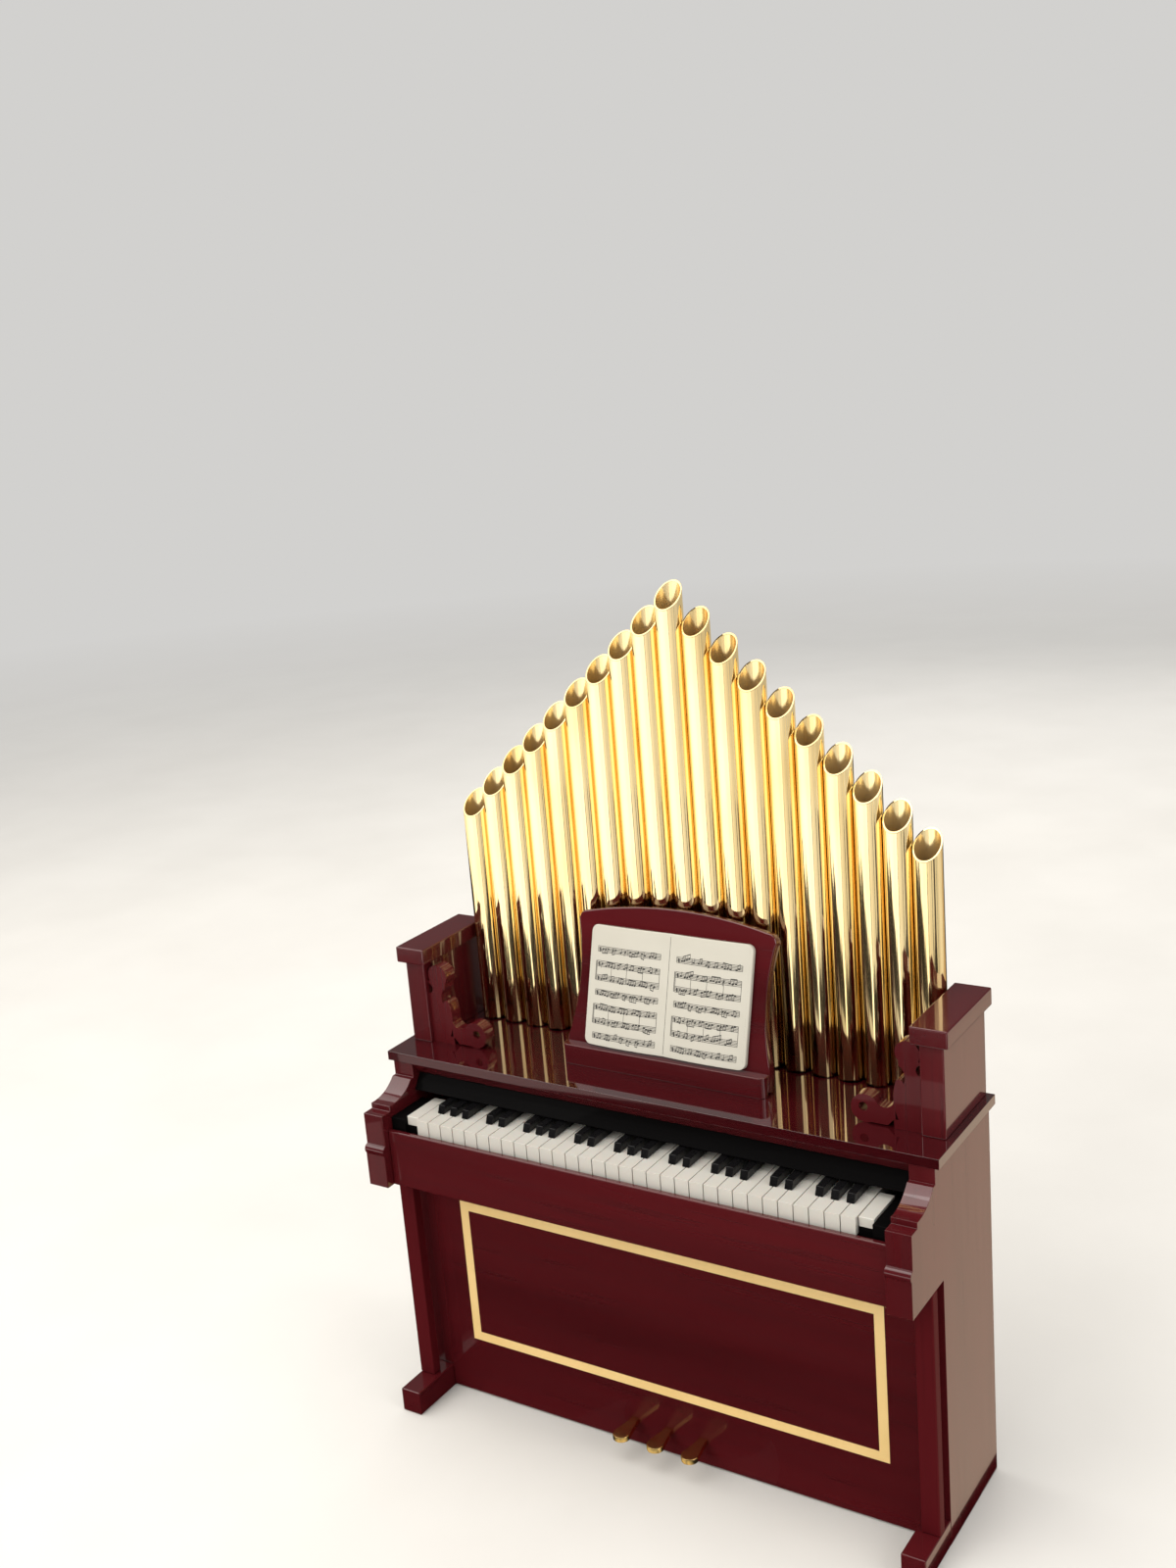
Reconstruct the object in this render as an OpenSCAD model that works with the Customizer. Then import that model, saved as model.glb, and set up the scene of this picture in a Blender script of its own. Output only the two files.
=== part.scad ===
// Miniature upright organ that plays by itself: lacquered cabinet, moving keys, brass pipes.
// Millimetres, +Z up, the front looks along -Y, the origin is at the middle of the underside.

/* [Cabinet] */
// width over the two side panels
cabinet_w = 246; // [232:1:260]
// height of the cabinet under the shelf
cabinet_h = 160.5; // [145:0.5:180]
// thickness of a side panel
side_t = 10; // [8:0.5:12]
// thickness of kneeboard, base board and key bed
board_t = 5; // [4:0.5:6]
// distance of the kneeboard behind the front edge of the shelf
knee_setback = 6; // [4:0.5:9]
// thickness of the back panel
back_t = 3; // [2.5:0.25:4]
// distance of the back panel inside the back edge of the shelf
back_recess = 4.5; // [4.5:0.25:6]

/* [Shelf] */
// depth of the shelf
shelf_d = 58; // [55:1:62]
// thickness of the shelf
shelf_t = 4; // [3.5:0.25:6]
// overhang of the shelf past each side panel
shelf_over = 2; // [1:0.25:4]

/* [Arms, legs and feet] */
// distance of the arm fronts before the shelf
arm_reach = 24; // [22:0.5:27]
// height of the underside of the arms, in a cabinet of the usual height
arm_z = 113; // [110:0.5:114]
// height of the block at the front of an arm
block_h = 32.5; // [30:0.5:34]
// radius of the bead across the block
bead_r = 2.2; // [1.6:0.1:2.6]
// rise of the cove above the block
cove_rise = 6; // [4.5:0.25:7]
// width of a front leg
leg_w = 7.5; // [6:0.5:9]
// depth of a front leg
leg_d = 5; // [4:0.5:7]
// height of a foot
foot_h = 11; // [8:0.5:14]
// distance of the foot fronts behind the arm fronts
foot_setback = 4.5; // [3:0.5:8]

/* [Kneeboard trim] */
// half width of the inlaid frame line
inlay_half = 99; // [90:1:101]
// lower edge of the inlaid frame line
inlay_low = 28; // [24:0.5:34]
// upper edge of the inlaid frame line, in a cabinet of the usual height
inlay_high = 96; // [88:0.5:102]
// width of the inlaid line
inlay_line = 4.2; // [3:0.2:5]
// depth of the inlay in the board
inlay_t = 0.6; // [0.4:0.1:1]
// spacing of the pedals
pedal_pitch = 16.3; // [14:0.1:18]
// radius of the round front of a pedal
pedal_r = 3.7; // [2.8:0.1:4.2]
// thickness of a pedal
pedal_t = 2.4; // [1.4:0.1:2.8]
// reach of a pedal before the kneeboard
pedal_reach = 15.5; // [14:0.5:21]
// height of the top of the pedals
pedal_z = 13; // [12:0.2:17]

/* [Keyboard] */
// width of the black cheek at each end of the keyboard
cheek_w = 7.25; // [5:0.25:9]
// height of the keyslip above the underside of the arms
keyslip_h = 25; // [24:0.25:26]
// thickness of the keyslip
keyslip_t = 2.4; // [2:0.1:4]
// height of the white keys above the keyslip
key_rise = 6; // [4:0.25:6.5]
// thickness of the white keys
key_h = 7; // [6.5:0.25:8]
// length of the white keys before the fallboard
key_show = 17.1; // [16.4:0.1:18]
// gap between neighbouring keys
key_gap = 0.4; // [0.35:0.05:0.5]
// width of a black key
black_w = 3.2; // [2.6:0.1:3.6]
// height of the black keys above the white ones
black_h = 3.5; // [2.5:0.25:3.75]
// length of the black keys before the fallboard
black_show = 8.2; // [6:0.2:9.4]
// length of the slope at the front of a black key
black_slope = 1.4; // [0.8:0.1:2]
// thickness of the fixed end keys
end_key_t = 4; // [3:0.2:5]
// radius of the pivot rod
rod_r = 1.5; // [1.2:0.1:1.7]
// running clearance of the keys on the pivot rod
rod_clear = 0.06; // [0.04:0.01:0.1]

/* [Upper works] */
// width of a post
post_w = 9.4; // [8:0.2:11]
// height of a post
post_h = 36.5; // [35:0.5:42]
// overhang of the caps past the posts
cap_over = 2.6; // [1.5:0.1:3.2]
// thickness of a cap
cap_t = 7; // [5:0.5:9]
// thickness of a scroll bracket
bracket_t = 6; // [4:0.5:8]
// room between a post and the nearest pipe
pipe_side = 3.4; // [2:0.2:6]
// gap between neighbouring pipes
pipe_gap = 0.2; // [0.1:0.05:0.4]
// wall of a pipe
pipe_wall = 0.7; // [0.5:0.1:1]
// height of the middle pipe at the centre of its mouth, above the ground
pipe_top = 355.5; // [340:0.5:370]
// step from one pipe to the next
pipe_step = 10.2; // [9:0.1:11]
// slope of the pipe mouths
mouth_angle = 43; // [30:1:50]

/* [Music desk] */
// lean of the desk panel
desk_lean = 16; // [12:0.5:20]
// thickness of the desk panel
desk_t = 5; // [4:0.5:6]
// height of the desk panel along its slope
desk_h = 66.8; // [64:0.2:72]
// half width of the desk panel at its waist
desk_waist = 43; // [40:0.5:46]
// half width of the desk ledge
ledge_half = 46.8; // [44:0.2:50]
// height of the desk ledge
ledge_h = 8.6; // [7:0.2:10]
// depth of the ledge before the desk panel, at its top
ledge_d = 5; // [4.4:0.2:6]
// width of the open songbook
book_w = 74.4; // [66:0.2:78]
// height of the songbook
book_h = 49.5; // [45:0.5:51]
// thickness of the songbook at the crown of a page
book_t = 3.8; // [3:0.1:4.2]

/* [Back] */
// diameter of the speaker
speaker_d = 50; // [44:1:56]
// radius of the volume knob
knob_r = 7; // [6:0.25:8]
// travel of the mode switch to each side
switch_travel = 3; // [2:0.25:3.5]
// radius of the bore of the inlet jack
jack_bore = 2.75; // [2.5:0.05:3]

/* [Hidden] */
$fn = 64;
keys_n = 34;
pipes_n = 19;
pipe_mid = (pipes_n - 1) / 2;
group_first = [2, 6, 9, 13, 16, 20, 23, 27, 30];
group_last = [5, 8, 12, 15, 19, 22, 26, 29, 33];
// the usual height of the cabinet: arms, keys and inlay keep their distance to the shelf
usual_h = 160.5;
lift = cabinet_h - usual_h;
// main planes, from back to front and from side to side
yb = (shelf_d + arm_reach) / 2;
yf = yb - shelf_d;
ya = -yb;
yk = yf + knee_setback;
y_in = yb - back_recess - back_t;
y_out = yb - back_recess;
half = cabinet_w / 2;
inner = half - side_t;
zs = cabinet_h + shelf_t;
side_back = 1.5;
knee_gap = 1;
panel_z = 2;
// arm profile
arm_low = arm_z + lift;
bead_z = arm_low + 0.51 * block_h;
block_low_back = 0.8;
block_high_back = 2;
block_low_y = ya + block_low_back;
block_high_y = ya + block_high_back;
block_top = arm_low + block_h;
cove_step = 2.3;
cove_front_back = 7.5;
cove_back = 9.5;
cove_low = block_top + cove_step;
cove_front = ya + cove_front_back;
cove_y = ya + cove_back;
cove_end = 1;
cove_dy = yf - cove_end - cove_y;
cove_r = (cove_dy * cove_dy + cove_rise * cove_rise) / (2 * cove_rise);
// kneeboard trim
inlay_top = inlay_high + lift;
inlay_proud = 0.1;
pedal_stem = 1.9;
pedal_taper = 9;
pedal_root = 3;
// keyboard, from the keyslip to the tails of the keys
bed_top = arm_low + board_t;
slip_back = 4.8;
slip_y = ya + slip_back;
slip_z = arm_low + keyslip_h;
key_clear = 0.7;
key_y = slip_y + keyslip_t + key_clear;
key_z = slip_z + key_rise;
key_pitch = 2 * (inner - cheek_w) / keys_n;
end_back = 1.8;
cheek_drop = 1;
fall_y = key_y + key_show;
fall_t = 4;
fall_rake = 5;
fall_top = fall_y + fall_rake;
fall_gap = 0.7;
fall_z = key_z + black_h + fall_gap;
rail_h = 5.2;
rail_front = 0.6;
rail_lip = 1.5;
pivot_back = 16;
pivot_drop = 4;
pivot_y = fall_top + pivot_back;
pivot_z = key_z - pivot_drop;
rod_end = 4;
rod_seat = 0.02;
tail_back = 11;
tail_y = pivot_y + tail_back;
bar_back = 8;
bar_y = fall_top + bar_back;
black_top = key_z + black_h;
// electromagnets over the tails, and the channel under them
coil_back = 7;
coil_y = pivot_y + coil_back;
coil_r = 4.6;
core_r = 2.2;
core_gap = 1.1;
core_z = black_top + core_gap;
coil_gap = 0.6;
coil_fit = 0.03;
magnet_rail_t = 1.5;
magnet_rail_d = 12;
magnet_rail_gap = 2;
magnet_rail_edge = 0.4;
magnet_rail_z = cabinet_h - magnet_rail_gap - magnet_rail_t;
keeper_t = 1;
keeper_d = 6;
keeper_back = 4;
keeper_y = pivot_y + keeper_back;
keeper_inset = 8;
keeper_gap = 0.4;
keeper_h = key_z - key_h - keeper_gap - bed_top;
// posts, caps, brackets and pipes
post_side = 1;
post_out = half - post_side;
post_in = post_out - post_w;
post_setback = 15;
post_y = yf + post_setback;
post_back = 1;
cap_z = zs + post_h;
bracket_setback = 2;
bracket_y = post_y + bracket_setback;
pipe_d = (2 * (post_in - pipe_side) + pipe_gap) / pipes_n - pipe_gap;
pipe_pitch = pipe_d + pipe_gap;
pipe_back = 0.8;
pipe_y = yb - pipe_d / 2 - pipe_back;
pipe_bore = pipe_d / 2 - pipe_wall;
dowel_sink = 2.5;
dowel_h = 14.5;
dowel_fit = 0.05;
dowel_seat = 0.03;
// music desk, leaning just clear of the pipes
desk_clear = 0.5;
desk_y = pipe_y - pipe_d / 2 - desk_clear - desk_h * sin(desk_lean);
ledge_y = desk_y - desk_t / cos(desk_lean) + ledge_h * tan(desk_lean) - ledge_d;
ledge_r = 3;
desk_crown_r = 190;
desk_flank_r = 99;
desk_flank_z = 36;
desk_corner_r = 4;
desk_corner_bulge = 0.06;
// centres of the crown, of a hollow flank, and of the round corner that just passes both
crown_c = [0, desk_h - desk_crown_r];
flank_c = [desk_waist + desk_flank_r, desk_flank_z];
corner_reach = desk_corner_r - desk_corner_bulge;
corner_c = touching(crown_c, desk_crown_r - corner_reach, flank_c, desk_flank_r + corner_reach);
corner_top = toward(crown_c, corner_c, desk_crown_r);
corner_side = toward(flank_c, corner_c, desk_flank_r);
book_seat = 0.02;
book_z = (ledge_h - desk_t * sin(desk_lean)) / cos(desk_lean) + book_seat;
book_corner = 3;
page_r = 108;
// back panel and what it carries
control_z = 34;
jack_inset = 25;
control_pitch = 26;
speaker_inset = 68;
jack_x = jack_inset - inner;
knob_x = jack_x + control_pitch;
switch_x = knob_x + control_pitch;
speaker_x = inner - speaker_inset;
speaker_z = 62;
screw_inset = 13;
screw_x = [screw_inset - inner, -0.3 * inner, 0.3 * inner, inner - screw_inset];
screw_r = 1.2;
screw_fit = 0.02;
screw_hold = 8;
screw_len = back_t + screw_hold;
screw_head_r = 2.6;
screw_head_t = 1.4;
screw_slot = 0.8;
screw_slot_l = 4;
screw_slot_t = 0.8;
hole_r = 2.2;
shaft_r = 3;
shaft_fit = 0.06;
shaft_len = 6;
knob_gap = 0.4;
knob_room = 1.9;
knob_t = back_recess - knob_room;
knob_line_w = 1;
knob_line_t = 0.6;
flute_r = 0.7;
flutes_n = 18;
lever_w = 3.6;
lever_h = 3.2;
lever_in = 4;
lever_fit = 0.4;
lever_room = 1.5;
lever_out = back_recess - lever_room;
jack_r = 5;
jack_fit = 0.02;
jack_in = 12;
jack_rim = 6.5;
jack_rim_t = 1.2;
jack_depth = 8;
basket_rim_t = 2.5;
basket_step = 4;
basket_wall = 1;
basket_h = 9;
basket_neck_r = 13;
basket_neck_h = 14;
cone_in = 9;
cone_low = 4.6;
cone_t = 1.4;
cone_fit = 0.05;
magnet_r = 14;
magnet_t = 7;
pcb_in = 12;
pcb_t = 1.6;
pcb_h = 34;
pcb_margin = 10;
part_d = 12;
pot_w = 16;
chip = [18, 2, 12];
// reach of a cut past the face it opens
past = 1;

// the point at a distance from a, on the way to b
function toward(a, b, distance) = a + (b - a) * distance / norm(b - a);

// the upper of the two points that lie ra from a and rb from b
function touching(a, ra, b, rb) =
  let (d = norm(b - a), e = (b - a) / d, along = (ra * ra - rb * rb + d * d) / (2 * d))
  a + along * e + sqrt(ra * ra - along * along) * [-e[1], e[0]];

// left edge of a white key, counted from 1
function key_x(k) = (k - 1 - keys_n / 2) * key_pitch;

// edges and middle of a group of keys
function group_left(n) = key_x(group_first[n - 1]) + key_gap / 2;
function group_right(n) = key_x(group_last[n - 1] + 1) - key_gap / 2;
function group_mid(n) = (group_left(n) + group_right(n)) / 2;

// steps of the scale: after which white keys a black one follows
function has_black(k) = let (s = (k + 2) % 7) s == 4 || s == 5 || s == 6 || s == 1 || s == 2;

// height of a pipe above the shelf, at the centre of its mouth
function pipe_h(i) = pipe_top - zs - abs(i - pipe_mid) * pipe_step;

// the same piece at the left side
module at_left() {
  mirror([1, 0, 0])
    children();
}

// a cylinder that goes forward from the face at y
module pin_forward(x, y, z, r, h) {
  translate([x, y, z])
    rotate([90, 0, 0])
      cylinder(r = r, h = h);
}

// outline of a side panel, seen from the side, with the cove of the arm
module side_outline() {
  difference() {
    polygon([[yb - side_back, 0], [yk, 0], [yk, arm_low], [block_low_y, arm_low],
      [block_low_y, bead_z], [block_high_y, bead_z], [block_high_y, block_top],
      [cove_front, block_top], [cove_front, cove_low + cove_rise],
      [yf + cove_end, cove_low + cove_rise], [yf + cove_end, cabinet_h],
      [yb - side_back, cabinet_h]]);
    intersection() {
      translate([cove_y, cove_low + cove_r])
        circle(cove_r, $fn = 128);
      translate([ya, block_top])
        square([yf - cove_end - ya, cove_low + cove_rise - block_top]);
    }
  }
}

module right_side_panel() {
  color("firebrick")
    difference() {
      union() {
        translate([inner, 0, 0])
          rotate([90, 0, 90])
            linear_extrude(side_t)
              side_outline();
        translate([inner, ya + bead_r, bead_z])
          rotate([0, 90, 0])
            cylinder(r = bead_r, h = side_t);
      }
      translate([inner - past, pivot_y, pivot_z])
        rotate([0, 90, 0])
          cylinder(r = rod_r + rod_seat, h = rod_end + past);
    }
}

module left_side_panel() {
  at_left()
    right_side_panel();
}

module right_leg() {
  color("firebrick")
    translate([half - leg_w, yf - leg_d, foot_h])
      cube([leg_w, leg_d, arm_low - foot_h]);
}

module left_leg() {
  at_left()
    right_leg();
}

module right_foot() {
  color("firebrick")
    translate([inner, ya + foot_setback, 0])
      cube([side_t, yk - ya - foot_setback, foot_h]);
}

module left_foot() {
  at_left()
    right_foot();
}

// ring of the inlaid line, standing in the kneeboard
module inlay_outline() {
  difference() {
    translate([-inlay_half, inlay_low])
      square([2 * inlay_half, inlay_top - inlay_low]);
    translate([inlay_line - inlay_half, inlay_low + inlay_line])
      square([2 * (inlay_half - inlay_line), inlay_top - inlay_low - 2 * inlay_line]);
  }
}

module kneeboard() {
  color("firebrick")
    difference() {
      translate([-inner, yk, knee_gap])
        cube([2 * inner, board_t, arm_low - knee_gap]);
      translate([0, yk + inlay_t, 0])
        rotate([90, 0, 0])
          linear_extrude(inlay_t + past)
            inlay_outline();
      for (i = [-1:1])
        translate([i * pedal_pitch - pedal_stem, yk - past, pedal_z - pedal_t])
          cube([2 * pedal_stem, pedal_root + past, pedal_t]);
    }
}

module inlay_frame() {
  color("gold")
    translate([0, yk + inlay_t, 0])
      rotate([90, 0, 0])
        linear_extrude(inlay_t + inlay_proud)
          inlay_outline();
}

// a pedal seen from above: round toe, tapering to the stem
module pedal_outline() {
  toe = yk - pedal_reach + pedal_r;
  translate([0, toe])
    circle(pedal_r);
  polygon([[-pedal_r, toe], [pedal_r, toe], [pedal_stem, toe + pedal_taper],
    [-pedal_stem, toe + pedal_taper]]);
  translate([-pedal_stem, toe])
    square([2 * pedal_stem, pedal_reach - pedal_r + pedal_root]);
}

module pedals() {
  color("gold")
    for (i = [-1:1])
      translate([i * pedal_pitch, 0, pedal_z - pedal_t])
        linear_extrude(pedal_t)
          pedal_outline();
}

// a board across the cabinet with pilot holes for the screws of the back panel
module board(y, z) {
  difference() {
    translate([-inner, y, z])
      cube([2 * inner, y_in - y, board_t]);
    for (x = screw_x)
      pin_forward(x, y_in + past, z + board_t / 2, screw_r + screw_fit, screw_len - back_t + 2 * past);
  }
}

module base_board() {
  color("sienna")
    board(yk + board_t, panel_z);
}

module key_bed() {
  color("sienna")
    board(slip_y + keyslip_t, arm_low);
}

module keyslip() {
  color("firebrick")
    translate([-inner, slip_y, arm_low])
      cube([2 * inner, keyslip_t, keyslip_h]);
}

// board behind the keys, leaning back
module fallboard() {
  color("black")
    translate([-inner, 0, 0])
      rotate([90, 0, 90])
        linear_extrude(2 * inner)
          polygon([[fall_y, fall_z], [fall_y + fall_t, fall_z], [fall_top + fall_t, cabinet_h - rail_h],
            [fall_top, cabinet_h - rail_h]]);
}

// sloping moulding under the front edge of the shelf
module fall_rail() {
  color("firebrick")
    translate([-inner, 0, cabinet_h - rail_h])
      rotate([90, 0, 90])
        linear_extrude(2 * inner)
          polygon([[yf + rail_front, rail_h], [fall_top - rail_lip, 0], [fall_top + fall_t, 0],
            [fall_top + fall_t, rail_h]]);
}

module shelf() {
  color("firebrick")
    difference() {
      translate([-half - shelf_over, yf, cabinet_h])
        cube([cabinet_w + 2 * shelf_over, shelf_d, shelf_t]);
      for (i = [0:pipes_n - 1])
        translate([(i - pipe_mid) * pipe_pitch, pipe_y, zs - dowel_sink])
          cylinder(r = pipe_bore - dowel_seat, h = dowel_sink + past);
    }
}

module right_post() {
  color("firebrick")
    translate([post_in, post_y, zs])
      cube([post_w, yb - post_back - post_y, post_h]);
}

module left_post() {
  at_left()
    right_post();
}

module right_cap() {
  color("firebrick")
    translate([post_in - cap_over, post_y - cap_over, cap_z])
      cube([post_w + 2 * cap_over, yb - post_y + cap_over, cap_t]);
}

module left_cap() {
  at_left()
    right_cap();
}

// outline of a scroll bracket: across from the post, up from the shelf
module bracket_outline() {
  scroll = [22.8, 5.8];
  scroll_r = 5.7;
  eye = [23.6, 6.4];
  eye_r = 1.8;
  valley = [15, 11.2];
  valley_r = 3.7;
  sole_end = 11.4;
  sole_z = 0.6;
  arch_end = 13.9;
  arch_h = 3.4;
  back_c = [-8.6, 12];
  back_r = 20;
  leaf = [8.9, 18.1];
  leaf_r = 1.6;
  neck_w = 9;
  neck_top = 28;
  throat = [12.2, 20.8];
  throat_r = 5.6;
  slit = [0, 24.5];
  slit_r = 2.3;
  lobe = [5.4, 30.6];
  lobe_r = 4.9;
  difference() {
    union() {
      translate(scroll)
        circle(scroll_r);
      translate([sole_end - sole_z, sole_z])
        square([scroll[0] - sole_end, scroll[1]]);
      translate([sole_end - sole_z, arch_h])
        square([scroll[0] - scroll_r - sole_end + 2 * sole_z, valley[1] - arch_h]);
    }
    translate(valley)
      circle(valley_r);
    translate(eye)
      circle(eye_r);
    polygon([[0, -past], [0, arch_h], [sole_end, arch_h], [arch_end, sole_z], [arch_end, -past]]);
  }
  intersection() {
    translate(back_c)
      circle(back_r, $fn = 128);
    square([sole_end + past, leaf[1]]);
  }
  square([sole_end, arch_h]);
  translate(leaf)
    circle(leaf_r);
  difference() {
    translate([0, leaf[1] - past])
      square([neck_w, neck_top - leaf[1] + past]);
    translate(throat)
      circle(throat_r);
    translate(slit)
      circle(slit_r);
  }
  translate(lobe)
    circle(lobe_r);
}

module right_bracket() {
  color("firebrick")
    translate([post_in, bracket_y + bracket_t, zs])
      mirror([1, 0, 0])
        rotate([90, 0, 0])
          linear_extrude(bracket_t)
            bracket_outline();
}

module left_bracket() {
  at_left()
    right_bracket();
}

module organ_pipes() {
  color("goldenrod")
    for (i = [0:pipes_n - 1])
      translate([(i - pipe_mid) * pipe_pitch, pipe_y, zs])
        difference() {
          cylinder(d = pipe_d, h = pipe_h(i) + pipe_d);
          translate([0, 0, -past])
            cylinder(r = pipe_bore, h = pipe_h(i) + 2 * pipe_d);
          translate([0, 0, pipe_h(i)])
            rotate([mouth_angle, 0, 0])
              translate([-2 * pipe_d, -4 * pipe_d, 0])
                cube([4 * pipe_d, 8 * pipe_d, 4 * pipe_d]);
        }
}

module pipe_dowels() {
  color("tan")
    for (i = [0:pipes_n - 1])
      translate([(i - pipe_mid) * pipe_pitch, pipe_y, zs - dowel_sink])
        cylinder(r = pipe_bore - dowel_fit, h = dowel_h);
}

// moves what follows onto the slope of the desk panel
module on_desk() {
  translate([0, desk_y, zs])
    rotate([-desk_lean, 0, 0])
      children();
}

// outline of the desk panel: crown, hollow flanks and round corners
module desk_outline() {
  difference() {
    intersection() {
      translate(crown_c)
        circle(desk_crown_r, $fn = 256);
      translate([-ledge_half, 0])
        square([2 * ledge_half, desk_h + past]);
    }
    for (s = [-1, 1]) {
      translate([s * flank_c[0], flank_c[1]])
        circle(desk_flank_r, $fn = 256);
      polygon([[s * corner_top[0], corner_top[1]], [s * corner_side[0], corner_side[1]],
        [s * ledge_half, corner_side[1]], [s * ledge_half, desk_h], [s * corner_top[0], desk_h]]);
    }
  }
  for (s = [-1, 1])
    translate([s * corner_c[0], corner_c[1]])
      circle(desk_corner_r);
}

module desk_panel() {
  color("firebrick")
    on_desk()
      rotate([90, 0, 0])
        linear_extrude(desk_t)
          desk_outline();
}

module desk_ledge() {
  ledge_back = ledge_d + desk_t;
  color("firebrick")
    difference() {
      translate([0, ledge_y, zs])
        linear_extrude(ledge_h) {
          translate([ledge_r - ledge_half, 0])
            square([2 * (ledge_half - ledge_r), ledge_back]);
          translate([-ledge_half, ledge_r])
            square([2 * ledge_half, ledge_back - ledge_r]);
          for (s = [-1, 1])
            translate([s * (ledge_half - ledge_r), ledge_r])
              circle(ledge_r);
        }
      on_desk()
        translate([-2 * ledge_half, -desk_t, -desk_h])
          cube([4 * ledge_half, desk_h, 2 * desk_h]);
    }
}

// outline of the book's two pages from above, each with a crown
module page_section() {
  for (s = [-1, 1])
    intersection() {
      translate([s * book_w / 4, page_r - book_t])
        circle(page_r, $fn = 256);
      translate([s * book_w / 4 - book_w / 4, -book_t])
        square([book_w / 2, book_t]);
    }
}

// outline of the open book from the front, with rounded corners
module book_outline() {
  translate([-book_w / 2, book_corner])
    square([book_w, book_h - 2 * book_corner]);
  translate([book_corner - book_w / 2, 0])
    square([book_w - 2 * book_corner, book_h]);
  for (s = [-1, 1])
    for (z = [book_corner, book_h - book_corner])
      translate([s * (book_w / 2 - book_corner), z])
        circle(book_corner);
}

module songbook() {
  color("ivory")
    on_desk()
      translate([0, -desk_t, book_z])
        intersection() {
          linear_extrude(book_h)
            page_section();
          translate([0, past, 0])
            rotate([90, 0, 0])
              linear_extrude(book_t + 2 * past)
                book_outline();
        }
}

// holes before the speaker, in rings
module speaker_holes() {
  for (ring = [0:2])
    for (i = [0:max(0, ring * 6 - 1)])
      rotate(ring == 0 ? 0 : i * 60 / ring)
        translate([ring * speaker_d * 0.15, 0])
          circle(hole_r, $fn = 32);
}

module back_panel() {
  through = back_t + 2 * past;
  slot_w = 2 * switch_travel + lever_w + 2 * lever_fit;
  slot_h = lever_h + 2 * lever_fit;
  color("sienna")
    difference() {
      translate([-inner, y_in, panel_z])
        cube([2 * inner, back_t, cabinet_h - panel_z]);
      translate([speaker_x, y_out + past, speaker_z])
        rotate([90, 0, 0])
          linear_extrude(through)
            speaker_holes();
      for (x = screw_x)
        for (z = [panel_z + board_t / 2, arm_low + board_t / 2])
          pin_forward(x, y_out + past, z, screw_r + screw_fit, through);
      pin_forward(knob_x, y_out + past, control_z, shaft_r + shaft_fit, through);
      pin_forward(jack_x, y_out + past, control_z, jack_r + jack_fit, through);
      translate([switch_x - slot_w / 2, y_in - past, control_z - slot_h / 2])
        cube([slot_w, through, slot_h]);
    }
}

module back_screw() {
  cylinder(r = screw_r, h = screw_len);
  difference() {
    translate([0, 0, -screw_head_t])
      cylinder(r = screw_head_r, h = screw_head_t);
    for (turn = [0, 90])
      rotate(turn)
        translate([-screw_slot / 2, -screw_slot_l / 2, -screw_head_t - past])
          cube([screw_slot, screw_slot_l, screw_slot_t + past]);
  }
}

module back_screws() {
  color("silver")
    for (x = screw_x)
      for (z = [panel_z + board_t / 2, arm_low + board_t / 2])
        translate([x, y_out, z])
          rotate([90, 0, 0])
            back_screw();
}

module volume_knob() {
  knob_top = y_out + knob_gap + knob_t;
  color("black")
    translate([knob_x, 0, control_z])
      rotate([-90, 0, 0])
        difference() {
          union() {
            translate([0, 0, y_out + knob_gap])
              cylinder(r = knob_r, h = knob_t);
            translate([0, 0, y_in - shaft_len])
              cylinder(r = shaft_r, h = shaft_len + back_t + knob_gap + knob_t / 2);
          }
          translate([-knob_line_w / 2, knob_line_w - knob_r, knob_top - knob_line_t])
            cube([knob_line_w, knob_r - 3 * knob_line_w, knob_line_t + past]);
          for (i = [0:flutes_n - 1])
            rotate(i * 360 / flutes_n)
              translate([knob_r + flute_r / 2, 0, y_out])
                cylinder(r = flute_r, h = back_recess);
        }
}

module mode_switch() {
  lever_l = lever_in + back_t + lever_out;
  color("black")
    translate([switch_x, 0, control_z])
      difference() {
        translate([-lever_w / 2, y_in - lever_in, -lever_h / 2])
          cube([lever_w, lever_l, lever_h]);
        translate([-knob_line_w / 2, y_in - lever_in + lever_l - knob_line_t, -lever_h])
          cube([knob_line_w, knob_line_t + past, 2 * lever_h]);
      }
}

module inlet_jack() {
  color("black")
    translate([jack_x, 0, control_z])
      rotate([-90, 0, 0])
        difference() {
          union() {
            translate([0, 0, y_in - jack_in])
              cylinder(r = jack_r, h = back_t + jack_in);
            translate([0, 0, y_out])
              cylinder(r = jack_rim, h = jack_rim_t);
          }
          translate([0, 0, y_out - jack_depth])
            cylinder(r = jack_bore, h = jack_depth + jack_rim_t + past);
        }
}

module speaker_basket() {
  cone_r = speaker_d / 2 - basket_step - basket_wall;
  color("gray")
    translate([speaker_x, y_in, speaker_z])
      rotate([90, 0, 0])
        difference() {
          union() {
            cylinder(r = speaker_d / 2, h = basket_rim_t);
            cylinder(r = speaker_d / 2 - basket_step, h = basket_h);
            cylinder(r = basket_neck_r, h = basket_neck_h);
          }
          translate([0, 0, -past])
            cylinder(r = cone_r, h = basket_h - 2 * basket_wall + past);
          translate([0, 0, -past])
            cylinder(r = basket_neck_r - 2 * basket_wall, h = basket_neck_h + 2 * past);
        }
}

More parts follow.
